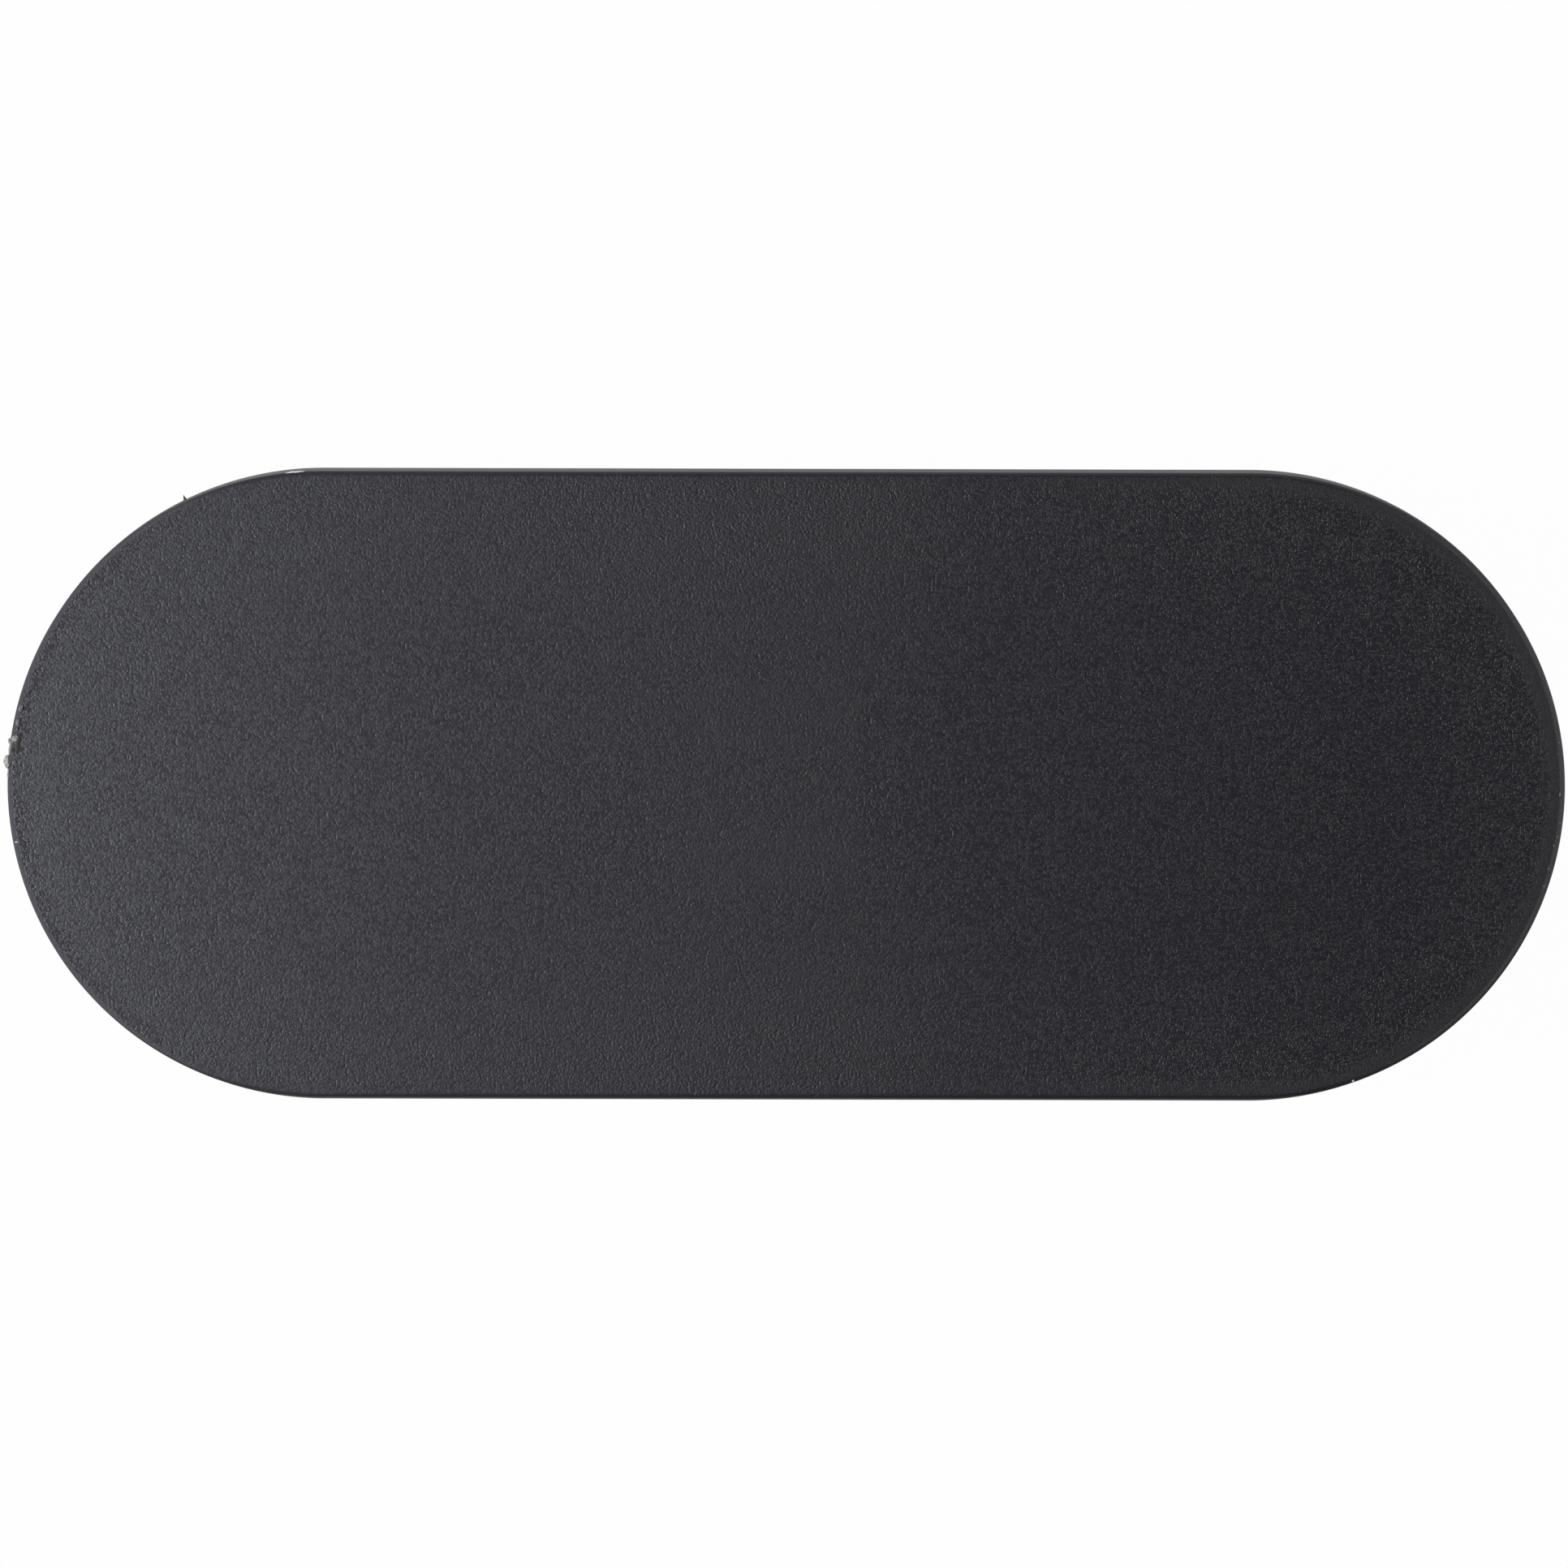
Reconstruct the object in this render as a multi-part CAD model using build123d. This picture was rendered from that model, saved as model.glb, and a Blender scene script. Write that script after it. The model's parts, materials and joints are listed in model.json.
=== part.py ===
from build123d import *
import os

# Webcam cover slider: a pill-shaped cover that slides sideways on a base plate stuck over a lens.
# Millimetres. The part lies on its adhesive back with the face up: +Z leaves the face, +X is the way
# the cover opens, and the origin is the middle of the adhesive face.

# Cover, whose outline is its widest line, at the back of its drafted edge
COVER_LENGTH = 41.9
COVER_WIDTH = 17.0
COVER_THICKNESS = 1.15
COVER_DRAFT = 5.5
COVER_EDGE_RADIUS = 0.12
HOLLOW_DEPTH = 0.3
HOLLOW_CORNER_RADIUS = 0.15
GLIDE_RIM_WIDTH = 1.2

# Base plate, which the cover overhangs all round
BASE_THICKNESS = 1.4
BASE_DRAFT = 3.5
BASE_EDGE_RADIUS = 0.12
COVER_OVERHANG = 0.2
GLIDE_GAP = 0.05

# Lens window, near the end of the base that the cover bares
WINDOW_DIAMETER = 8.0
WINDOW_BEVEL = 0.3
WINDOW_TO_BASE_END = 4.3
OPENING_SPARE = 0.5

# Snap hooks in the middle of the cover, and the slot that they run in
HOOK_LENGTH = 4.0
HOOK_THICKNESS = 0.9
HOOK_SPACING = 4.0
HOOK_ROOT_RADIUS = 0.15
HOOK_TO_BACK = 0.15
BARB_REACH = 0.2
BARB_HEIGHT = 0.2
LIP_THICKNESS = 0.6
HOOK_CLEARANCE = 0.05
BARB_CLEARANCE = 0.1

# Adhesive pad on the back of the base
PAD_THICKNESS = 0.3
PAD_INSET = 0.5
PAD_OPENING_MARGIN = 0.4

# Levels, from the adhesive face up
BASE_BACK = PAD_THICKNESS
BASE_FRONT = BASE_BACK + BASE_THICKNESS
COVER_BACK = BASE_FRONT + GLIDE_GAP
HOLLOW_TOP = COVER_BACK + HOLLOW_DEPTH
LIP_BACK = BASE_FRONT - LIP_THICKNESS
BARB_TOP = LIP_BACK - HOOK_CLEARANCE
HOOK_TIP = BASE_BACK + HOOK_TO_BACK

# Places along the slide
BASE_LENGTH = COVER_LENGTH - 2 * COVER_OVERHANG
BASE_WIDTH = COVER_WIDTH - 2 * COVER_OVERHANG
WINDOW_RADIUS = WINDOW_DIAMETER / 2
WINDOW_X = -BASE_LENGTH / 2 + WINDOW_TO_BASE_END + WINDOW_RADIUS
TRAVEL = COVER_OVERHANG + WINDOW_TO_BASE_END + WINDOW_DIAMETER + OPENING_SPARE
SLOT_LENGTH = HOOK_LENGTH + TRAVEL + 2 * HOOK_CLEARANCE
SLOT_X = TRAVEL / 2

# Places across the slide
HOOK_INNER = (HOOK_SPACING - HOOK_THICKNESS) / 2
HOOK_OUTER = (HOOK_SPACING + HOOK_THICKNESS) / 2
BARB_OUTER = HOOK_OUTER + BARB_REACH
SLOT_WIDTH = 2 * (HOOK_OUTER + HOOK_CLEARANCE)
RECESS_WIDTH = 2 * (BARB_OUTER + BARB_CLEARANCE)


def pill(length, width, level, height):
    """A straight-sided pill-shaped slab."""
    return extrude(Plane.XY.offset(level) * SlotOverall(length, width), height)


def drafted_pill(length, width, level, height, draft, edge_radius):
    """A moulded pill-shaped plate that narrows to its front, with its front edge rounded."""
    outline = Plane.XY.offset(level) * SlotOverall(length, width)
    plate = extrude(outline, height, taper=draft)
    front = plate.faces().sort_by(Axis.Z)[-1]
    return fillet(front.edges(), edge_radius)


def slot_cut(length, width, low, high):
    """The straight bar that cuts a slot along the slide, from one level to another."""
    outline = Plane.XY.offset(low) * Pos(SLOT_X, 0) * Rectangle(length, width)
    return extrude(outline, high - low)


def window_cut(radius, low, high):
    """The round bar that cuts an opening at the lens window, from one level to another."""
    return extrude(Plane.XY.offset(low) * Pos(WINDOW_X, 0) * Circle(radius), high - low)


def snap_hook():
    """The hook on the +Y side: a short wall across which its barb catches under the slot's lip."""
    barb_bottom = BARB_TOP - BARB_HEIGHT
    profile = Polyline(
        (HOOK_INNER, HOLLOW_TOP),
        (HOOK_INNER, HOOK_TIP),
        (HOOK_OUTER, HOOK_TIP),
        (BARB_OUTER, barb_bottom),
        (BARB_OUTER, BARB_TOP),
        (HOOK_OUTER, BARB_TOP),
        (HOOK_OUTER, HOLLOW_TOP),
        close=True,
    )
    section = Plane.YZ * make_face(profile)
    return extrude(section, HOOK_LENGTH / 2, both=True)


def sliding_cover():
    """The cover: a thin drafted plate, hollow behind inside its glide rim, with the two hooks."""
    plate = drafted_pill(
        COVER_LENGTH, COVER_WIDTH, COVER_BACK, COVER_THICKNESS, COVER_DRAFT, COVER_EDGE_RADIUS
    )
    hollow_length = COVER_LENGTH - 2 * GLIDE_RIM_WIDTH
    hollow_width = COVER_WIDTH - 2 * GLIDE_RIM_WIDTH
    hollow = pill(hollow_length, hollow_width, COVER_BACK, HOLLOW_DEPTH)
    hollow = fillet(hollow.faces().sort_by(Axis.Z)[-1].edges(), HOLLOW_CORNER_RADIUS)
    hook = snap_hook()
    cover = plate - hollow + hook + mirror(hook, Plane.XZ)
    hook_roots = (
        cover.edges()
        .filter_by_position(Axis.Z, HOLLOW_TOP, HOLLOW_TOP)
        .filter_by_position(Axis.X, -HOOK_LENGTH / 2, HOOK_LENGTH / 2)
        .filter_by_position(Axis.Y, -HOOK_OUTER, HOOK_OUTER)
    )
    return fillet(hook_roots, HOOK_ROOT_RADIUS)


def base_plate():
    """The base: a plate with the lens window and the stepped slot, whose lips hold the hooks."""
    plate = drafted_pill(
        BASE_LENGTH, BASE_WIDTH, BASE_BACK, BASE_THICKNESS, BASE_DRAFT, BASE_EDGE_RADIUS
    )
    plate -= window_cut(WINDOW_RADIUS, BASE_BACK, BASE_FRONT)
    window_edge = plate.faces().sort_by(Axis.Z)[-1].edges().filter_by(GeomType.CIRCLE)
    window_edge = window_edge.filter_by(lambda edge: edge.radius == WINDOW_RADIUS)
    plate = chamfer(window_edge, WINDOW_BEVEL)
    plate -= slot_cut(SLOT_LENGTH, SLOT_WIDTH, LIP_BACK, BASE_FRONT)
    return plate - slot_cut(SLOT_LENGTH, RECESS_WIDTH, BASE_BACK, LIP_BACK)


def adhesive_pad():
    """The die-cut tape: inset from the base's edge and cut back round the window and the slot."""
    pad = pill(BASE_LENGTH - 2 * PAD_INSET, BASE_WIDTH - 2 * PAD_INSET, 0, PAD_THICKNESS)
    pad -= window_cut(WINDOW_RADIUS + PAD_OPENING_MARGIN, 0, PAD_THICKNESS)
    opening_length = SLOT_LENGTH + 2 * PAD_OPENING_MARGIN
    opening_width = RECESS_WIDTH + 2 * PAD_OPENING_MARGIN
    return pad - slot_cut(opening_length, opening_width, 0, PAD_THICKNESS)


os.makedirs("parts", exist_ok=True)
export_step(sliding_cover(), "parts/sliding_cover.step")
export_step(base_plate(), "parts/base_plate.step")
export_step(adhesive_pad(), "parts/adhesive_pad.step")
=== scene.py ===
"""Dresses the webcam cover slider: the grained cover, the slotted base behind it and its tape."""

import json
import math
from typing import NamedTuple

import bmesh
import bpy
from bpy.props import FloatProperty, FloatVectorProperty, PointerProperty
from bpy.types import NodeSocket, Operator, Panel, PropertyGroup
from mathutils import Matrix, Vector, noise


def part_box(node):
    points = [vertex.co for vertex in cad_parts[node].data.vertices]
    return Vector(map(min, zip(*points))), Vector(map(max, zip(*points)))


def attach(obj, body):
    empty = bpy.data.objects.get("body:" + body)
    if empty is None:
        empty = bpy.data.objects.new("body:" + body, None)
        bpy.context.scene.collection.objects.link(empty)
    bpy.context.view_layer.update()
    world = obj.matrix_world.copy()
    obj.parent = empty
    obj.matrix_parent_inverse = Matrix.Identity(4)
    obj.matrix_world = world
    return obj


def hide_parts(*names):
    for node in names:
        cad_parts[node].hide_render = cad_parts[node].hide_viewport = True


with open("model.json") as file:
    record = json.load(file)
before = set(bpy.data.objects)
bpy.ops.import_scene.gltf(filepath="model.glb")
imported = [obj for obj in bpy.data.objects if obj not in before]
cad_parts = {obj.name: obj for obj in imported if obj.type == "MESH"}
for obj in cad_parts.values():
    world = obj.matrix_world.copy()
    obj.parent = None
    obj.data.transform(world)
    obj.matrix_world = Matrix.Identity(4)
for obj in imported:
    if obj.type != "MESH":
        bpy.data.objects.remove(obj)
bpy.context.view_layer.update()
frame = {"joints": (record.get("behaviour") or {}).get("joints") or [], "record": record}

bl_info = {
    "name": "Webcam Cover Slider",
    "version": (1, 0, 0),
    "blender": (4, 5, 0),
    "location": "View3D > Sidebar > Webcam Cover",
    "description": "Builds a sliding webcam cover, its slotted base, its tape and a plain studio",
    "category": "Mesh",
}

MM = 0.001
QUARTER = math.pi / 2
WHITE = (1, 1, 1, 1)

# The frame: boxes of the three nodes at rest, how far the cover slides and where the window is
COVER_LOW, COVER_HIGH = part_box("sliding_cover")
BASE_LOW, BASE_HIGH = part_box("base_plate")
PAD_LOW, PAD_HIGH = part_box("adhesive_pad")
TRAVEL = frame["joints"][0]["range_m"][1]
WINDOW_LOW, WINDOW_HIGH = frame["record"]["physics"]["openings"][0]["box_m"]
WINDOW_X = (WINDOW_LOW[0] + WINDOW_HIGH[0]) / 2

# How finely round outlines, the face and the tape's edge are divided
ARC_STEPS = 128
RUN_STEPS = 40
WINDOW_STEPS = 128
ROUND_STEPS = 10
ROLL_STEPS = 12
BULGE_STEPS = 6
FACE_SHARES = (0.75, 0.5, 0.25, 0.08)
SMOOTH_ANGLE = math.radians(32)
WELD_DISTANCE = 1e-7

# Spans along the cover over which its grain or gloss changes, and one across it
GATE_END = (-20 * MM, -13 * MM)
FINE_END = (-3 * MM, 15 * MM)
COARSE_END = (2 * MM, 19 * MM)
ROUND_ENDS = (14 * MM, 20 * MM)
HOOKS_START = (-10 * MM, 0.0)
HOOKS_END = (1.5 * MM, 6 * MM)
UPPER_PART = (1 * MM, 7 * MM)

# Distances in from the cover's rim. The pale band of painted light at the far end has ends with a softness
RIM_EDGE = (-0.03 * MM, 0.05 * MM)
RIM_FADE = 0.25 * MM
RIM_GLOSS = 0.6 * MM
LIT_RIM_BAND = (-0.13 * MM, 0.03 * MM, 0.03 * MM)

# Sink marks in the face: their spans, with a softness where both ends are soft, and how they roughen it
SINK_X = (-2.4 * MM, 2.0 * MM, 0.25 * MM)
SINK_Y = (1.1 * MM, 2.8 * MM, 0.3 * MM)
WAKE_START_X = (1.8 * MM, 2.2 * MM)
WAKE_X = (2.2 * MM, 7.2 * MM)
WAKE_Y = (2.3 * MM, 3.1 * MM)
WAKE_CHANGE = -0.8
BEHIND_X = (-6.9 * MM, -3.9 * MM, 0.9 * MM)
BEHIND_Y = (-3.0 * MM, 1.0 * MM, 0.9 * MM)
BEHIND_CHANGE = -0.5
HOOKS_CHANGE = 1.6
BORDER_X = (2 * MM, 12 * MM)
BORDER_Y = (3 * MM, 7.5 * MM)
BORDER_CHANGES = (1.0, -0.6)
FAR_X = (0.0, 20 * MM)
FAR_CHANGE = -2.8
NEAR_X = (-20 * MM, -9 * MM)
NEAR_CHANGE = -0.9

# Grain: the depths of its lowest and tallest domes, and how much deeper it is at the far border
DOME_DEPTHS = (-0.5, -2.0)
FINE_BORDER = 0.15
NOISE_ROUGHNESS = 0.6

# Materials: darkest and palest shades, and shares of the cover's grain and waves
COVER_SHADES = (0.9, 1.1)
BASE_SHADES = (0.85, 1.15)
BASE_UNEVENNESS = 0.1
BASE_PITCH = 1 / 2
BASE_DEPTH = 1 / 6
TAPE_SHADES = (0.85, 1.1)
TAPE_ROUGHNESS = 0.45
TAPE_UNEVENNESS = 0.2
TAPE_PITCH = 0.6
TAPE_DEPTH = 1
BROAD_BLOTCH = 2
TORN_BLOTCH = 3
TORN_DEPTH = 1 / 4
TORN_PALE = (0.25, 0.55)
TORN_BLOTCHES = (0.2, 0.8)
TORN_ROUGHNESS = (0.8, 0.6)
TORN_SHINE = 0.5
# Shine of the dark lumps of painted shadow
PAINTED_SHADOW_SHINE = 0.1

# Torn lumps and a tongue of flash, shaped at a radius of 1. Noise has a share and a frequency
LUMP_DETAIL = 4
LUMP_NOISE = (0.24, 1.6)
LUMP_FRACTAL = (0.8, 2.0, 4)
LUMP_SHIFT = 5
FLASH_SIDES = 16
FLASH_CUTS = 6
FLASH_TIP = 0.06
FLASH_LEAN = 0.5
FLASH_SIDE_NOISE = (0.1, 3)
FLASH_TOP_NOISE = (0.3, 2)

# Stage
FLOOR_RADIUS = 3.0
FLOOR_STEPS = 64
FLOOR_GLOW = 0.985
FLOOR_GAP = 0.01 * MM
FLOOR_GRADE = (-12 * MM, 12 * MM)
CONTACT_REACH = 0.3 * MM
SWEEP_TURN = (-0.6, 0.6)
SWEEP_HEIGHT = (0.1, 0.7)
SENSOR_WIDTH = 36.0
CLIP_SPAN = (0.01, 10.0)


def number(name, description, value, **options):
    """A number that a user may change."""
    return FloatProperty(name=name, description=description, default=value, **options)


def length_mm(name, description, millimetres):
    """A size that a user may change, given in millimetres and held in metres."""
    return number(name, description, millimetres * MM, unit="LENGTH", precision=5)


def angle_deg(name, description, degrees):
    """An angle that a user may change, given in degrees and held in radians."""
    return number(name, description, math.radians(degrees), subtype="ANGLE")


def fraction(name, description, share):
    """A share from 0 to 1 that a user may change."""
    return number(name, description, share, subtype="FACTOR", min=0, max=1)


def linear_colour(name, description, colour):
    """A colour that a user may change, in linear light."""
    return FloatVectorProperty(
        name=name, description=description, default=colour, subtype="COLOR", min=0, max=1
    )


def place_mm(name, description, millimetres):
    """A place that a user may change, given in millimetres and held in metres."""
    metres = [part * MM for part in millimetres]
    return FloatVectorProperty(
        name=name, description=description, default=metres, subtype="XYZ", unit="LENGTH"
    )


class CoverSizes(PropertyGroup):
    """Sizes of the sliding cover that its box doesn't give."""

    thickness: length_mm("Thickness", "Thickness of the cover at its edge", 1.15)
    draft: angle_deg("Draft", "Slope of the moulded edge", 5.5)
    edge_radius: length_mm("Edge radius", "Rounding between the face and the edge", 0.12)
    back_radius: length_mm("Back radius", "Softness of the edges behind", 0.03)
    roll_width: length_mm("Roll width", "Width of the border that rolls off", 1.3)
    roll_drop: length_mm("Roll drop", "Drop of the face at its edge", 0.01)
    rim_width: length_mm("Glide rim", "Width of the rim that glides on the base", 1.2)
    hollow_depth: length_mm("Hollow", "Depth of the hollow behind", 0.3)
    hollow_radius: length_mm("Hollow radius", "Rounding of the hollow's inner corner", 0.15)
    hook_length: length_mm("Hook length", "Length of a snap hook", 4.0)
    hook_thickness: length_mm("Hook thickness", "Thickness of a snap hook", 0.9)
    hook_spacing: length_mm("Hook spacing", "From the middle of one hook to the other", 4.0)
    root_radius: length_mm("Hook root", "Rounding at a snap hook's root", 0.15)
    barb_reach: length_mm("Barb reach", "Reach of a barb under the slot's lip", 0.2)
    barb_height: length_mm("Barb height", "Height of the straight part of a barb", 0.2)


class BaseSizes(PropertyGroup):
    """Sizes of the base plate that its box doesn't give."""

    draft: angle_deg("Draft", "Slope of the moulded edge", 3.5)
    edge_radius: length_mm("Edge radius", "Rounding of the front edge", 0.12)
    window_diameter: length_mm("Window", "Diameter of the lens window", 8.0)
    window_bevel: length_mm("Window bevel", "Bevel round the front of the window", 0.3)
    lip_thickness: length_mm("Lip", "Thickness of the lips over the barbs", 0.6)
    hook_clearance: length_mm("Hook clearance", "Room between the hooks and the slot", 0.05)
    barb_clearance: length_mm("Barb clearance", "Room between the barbs and the recess", 0.1)
    slot_softness: length_mm("Slot softness", "Rounding of the slot's front edge", 0.06)


class PadSizes(PropertyGroup):
    """Sizes of the tape that its box doesn't give."""

    opening_margin: length_mm("Margin", "Tape cut back round the window and the slot", 0.4)
    bulge: length_mm("Bulge", "How far the cut edge is pulled in at its faces", 0.03)


class Finish(PropertyGroup):
    """Colours and surface of the plastics and the tape."""

    cover_colour: linear_colour("Cover", "Charcoal plastic of the cover", (0.0143, 0.0127, 0.0172))
    cover_sheen: linear_colour("Cover sheen", "Tint of the light off the cover's skin", (0.93, 1.0, 1.0))
    # Painted light: the rim at the far end is painted paler, as if lit from the right
    painted_rim_light: linear_colour("Pale rim", "Painted light on the rim at the far end", (0.045, 0.044, 0.047))
    cover_roughness: fraction("Cover roughness", "Roughness of the smoothest domes", 0.38)
    grain_pitch: length_mm("Grain pitch", "Distance between the grain's domes", 0.062)
    fine_pitch: length_mm("Fine pitch", "Distance between the domes at the far end", 0.045)
    grain_depth: length_mm("Grain depth", "Depth of the mould grain", 0.0068)
    grain_sharpness: number("Grain sharpness", "How steep the domes' feet are", 3.0)
    grain_roughening: number("Grain roughening", "Unevenness of the domes", 1.2)
    speck_rarity: number("Speck rarity", "How rare the tall rough domes are", 2.0)
    speck_spread: fraction("Speck spread", "Added roughness of the roughest domes", 0.35)
    rim_roughness: fraction("Rim roughness", "Roughness of the rounded edge", 0.4)
    end_roughness: fraction("End roughness", "Roughness of that edge at the ends", 0.82)
    rim_grain: fraction("Rim grain", "Share of the grain left on the long edges", 0.4)
    fade_grain: fraction("Fading grain", "Share of the grain left next to the rim", 0.55)
    border_width: length_mm("Border", "Width of the face's coarser border", 4.5)
    border_grain: number("Border grain", "How much deeper the border's grain is", 1.6, min=0)
    middle_grain: number("Middle grain", "How much deeper it is over the hooks", 1.75, min=0)
    end_grain: number("End grain", "How much deeper it is at the far end", 1.25, min=0)
    upper_grain: number("Upper grain", "How much deeper it is above the hooks", 1.2, min=0)
    gate_border: number("Gate border", "Dullness next to the rim at the gate's end", -2.0)
    far_border: number("Far border", "Dullness next to the rim at the far end", 10.0)
    sink_gloss: number("Sink marks", "Change of roughness at the sink marks", 0.035)
    wave_pitch: length_mm("Wave pitch", "Distance between the face's slight waves", 0.7)
    wave_depth: length_mm("Wave depth", "Depth of the face's slight waves", 0.002)
    base_colour: linear_colour("Base", "Plastic of the base", (0.0125, 0.0125, 0.014))
    base_roughness: fraction("Base roughness", "Roughness of the base", 0.42)
    tape_colour: linear_colour("Tape", "Foam of the tape", (0.55, 0.55, 0.53))
    torn_colour: linear_colour("Torn plastic", "Whitened plastic at the torn gate", (0.17, 0.166, 0.163))
    torn_dark: linear_colour("Torn shade", "Darkest parts of the torn plastic", (0.115, 0.112, 0.11))
    scuff_colour: linear_colour("Scuffs", "Whitened plastic of nicks and burrs", (0.5, 0.5, 0.54))
    scuff_dark: linear_colour("Scuff shade", "Darkest parts of the scuffs", (0.16, 0.16, 0.17))
    rim_torn: linear_colour("Torn rim", "Palest parts of the rim's lumps", (0.062, 0.06, 0.06))
    # Painted glints: the pale specks beside the gate. The specks round the far end share this colour
    glint_and_speck_colour: linear_colour("Glints and specks", "Palest parts of the rim's specks", (0.12, 0.128, 0.128))
    # Painted shadow: the dark lumps beside the torn gate. The rim's lumps also take their darkest mottle
    # from this colour
    shadow_and_mottle_colour: linear_colour("Gate pit", "Plastic in the torn gate's shade", (0.022, 0.02, 0.019))
    painted_shadow_dark: linear_colour("Pit shade", "Darkest parts of the painted gate shadow", (0.008, 0.008, 0.008))


class StageSettings(PropertyGroup):
    """Camera and light."""

    camera_distance: length_mm("Camera distance", "From the cover's widest line to the camera", 150)
    camera_tilt: angle_deg("Tilt", "Lean of the camera towards +Y", 1.6)
    camera_roll: angle_deg("Roll", "Turn of the camera about its axis", 0.136)
    view_width: length_mm("View width", "Width of the view at the cover's widest line", 42.25)
    aim_x: length_mm("Aim X", "Aim of the camera along the cover", -0.06)
    aim_y: length_mm("Aim Y", "Aim of the camera across the cover", 0.016)
    key_place: place_mm("Key place", "Where the key lamp stands", (-75, -4, 50))
    key_size: length_mm("Key size", "Diameter of the key lamp", 60)
    key_power: number("Key", "Power of the key lamp", 0.162, unit="POWER")
    fill_place: place_mm("Fill place", "Where the fill lamp stands", (50, 200, 120))
    fill_size: length_mm("Fill size", "Diameter of the fill lamp", 120)
    fill_power: number("Fill", "Power of the fill lamp", 0.04, unit="POWER")
    side_place: place_mm("Side place", "Where the side lamp stands", (45, 4, 5.7))
    side_size: length_mm("Side size", "Diameter of the side lamp", 8)
    side_power: number("Side", "Power of the side lamp", 0.0045, unit="POWER")
    sky_level: number("Sky", "Light from overhead", 0.06, min=0)
    sweep_level: number("Sweep", "Light from the sweep's side", 0.6, min=0)
    room_level: number("Room", "Light from the room's side", 0.1, min=0)
    paper_colour: linear_colour("Paper", "Paint of the floor, under its glow", (0.25, 0.25, 0.25))
    # Painted reflection: how bright the floor's glow looks in the part's lower and upper edges
    room_floor: fraction("Room floor", "Share of the floor's glow in the part's lower edge", 0.2)
    sweep_floor: fraction("Sweep floor", "Share of the floor's glow in the part's upper edge", 0.5)
    sweep_side: FloatVectorProperty(
        name="Sweep side", description="Where the sweep rises", default=(0.4, 0.92, 0), subtype="DIRECTION"
    )


# Outlines: closed rings of edges that are stepped on, ring by ring


def edges_between(verts):
    """The edges that join the given vertices to each other."""
    chosen = set(verts)
    found = {edge for vert in chosen for edge in vert.link_edges}
    return [edge for edge in found if edge.verts[0] in chosen and edge.verts[1] in chosen]


def pill_size(low, high):
    """The half run and the radius of the pill that fills a box."""
    radius = (high.y - low.y) / 2
    return (high.x - low.x) / 2 - radius, radius


def pill_ring(bm, half_run, radius, level):
    """A closed ring round a pill: a half turn at each end and a divided run along each side."""
    last = bm.verts.new((half_run, -radius, level))
    for side in (1, -1):
        centre = (side * half_run, 0, level)
        end = bmesh.ops.spin(bm, geom=[last], cent=centre, axis=(0, 0, 1), angle=math.pi, steps=ARC_STEPS)
        last = end["geom_last"][0]
        for _ in range(RUN_STEPS):
            last = bmesh.ops.extrude_vert_indiv(bm, verts=[last])["verts"][0]
            bmesh.ops.translate(bm, vec=(-side * 2 * half_run / RUN_STEPS, 0, 0), verts=[last])
    made = [vert for vert in bm.verts if abs(vert.co.z - level) < WELD_DISTANCE and not vert.link_faces]
    bmesh.ops.remove_doubles(bm, verts=made, dist=WELD_DISTANCE)
    return edges_between([vert for vert in made if vert.is_valid])


def circle_ring(bm, centre_x, radius, level):
    """A closed round ring."""
    place = Matrix.Translation((centre_x, 0, level))
    made = bmesh.ops.create_circle(bm, segments=WINDOW_STEPS, radius=radius, matrix=place)
    return edges_between(made["verts"])


def box_ring(bm, low_x, high_x, low_y, high_y, level):
    """A closed rectangular ring."""
    middle = Matrix.Translation(((low_x + high_x) / 2, (low_y + high_y) / 2, level))
    size = Matrix.Diagonal((high_x - low_x, high_y - low_y, 1, 1))
    made = bmesh.ops.create_grid(bm, x_segments=1, y_segments=1, size=0.5, matrix=middle @ size)
    face = made["verts"][0].link_faces[0]
    bmesh.ops.delete(bm, geom=[face], context="FACES_ONLY")
    return edges_between(made["verts"])


def next_ring(bm, edges, move):
    """Grows a wall from a ring: its edges are extruded and each new vertex goes where move puts it."""
    grown = bmesh.ops.extrude_edge_only(bm, edges=edges)["geom"]
    verts = [item for item in grown if isinstance(item, bmesh.types.BMVert)]
    for vert in verts:
        vert.co = move(vert.co)
    return edges_between(verts)


def around(half_run, radius, level, centre_x):
    """Moves a vertex straight out from a pill's spine to a radius, or from a point if there is no run."""

    def move(point):
        along = max(-half_run, min(half_run, point.x - centre_x))
        spine = Vector((centre_x + along, 0, 0))
        out = Vector((point.x, point.y, 0)) - spine
        return spine + out.normalized() * radius + Vector((0, 0, level))

    return move


def grow_rings(bm, edges, half_run, section, centre_x=0.0):
    """Steps a ring through a section, given as pairs of radius and level."""
    for radius, level in section:
        edges = next_ring(bm, edges, around(half_run, radius, level, centre_x))
    return edges


def corner(radius_at, level_at, size, start, end):
    """The pairs of a rounded corner: an arc of a size about a centre, from one angle to another."""
    turns = [start + (end - start) * step / ROUND_STEPS for step in range(ROUND_STEPS + 1)]
    return [(radius_at + size * math.cos(turn), level_at + size * math.sin(turn)) for turn in turns]


def drafted_edge(radius, back, front, draft, edge_radius, soft):
    """The pairs of a sloping edge, soft behind and rounded in front, and the radius of its face."""
    narrowing = math.tan(draft)
    face_corner = radius - (front - back) * narrowing
    centre_in = edge_radius * (1 + math.sin(draft)) / math.cos(draft) - edge_radius * narrowing
    face_radius = face_corner - centre_in
    section = corner(radius - soft, back + soft, soft, -QUARTER, draft)
    section += corner(face_radius, front - edge_radius, edge_radius, draft, QUARTER)
    return section, face_radius


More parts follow.
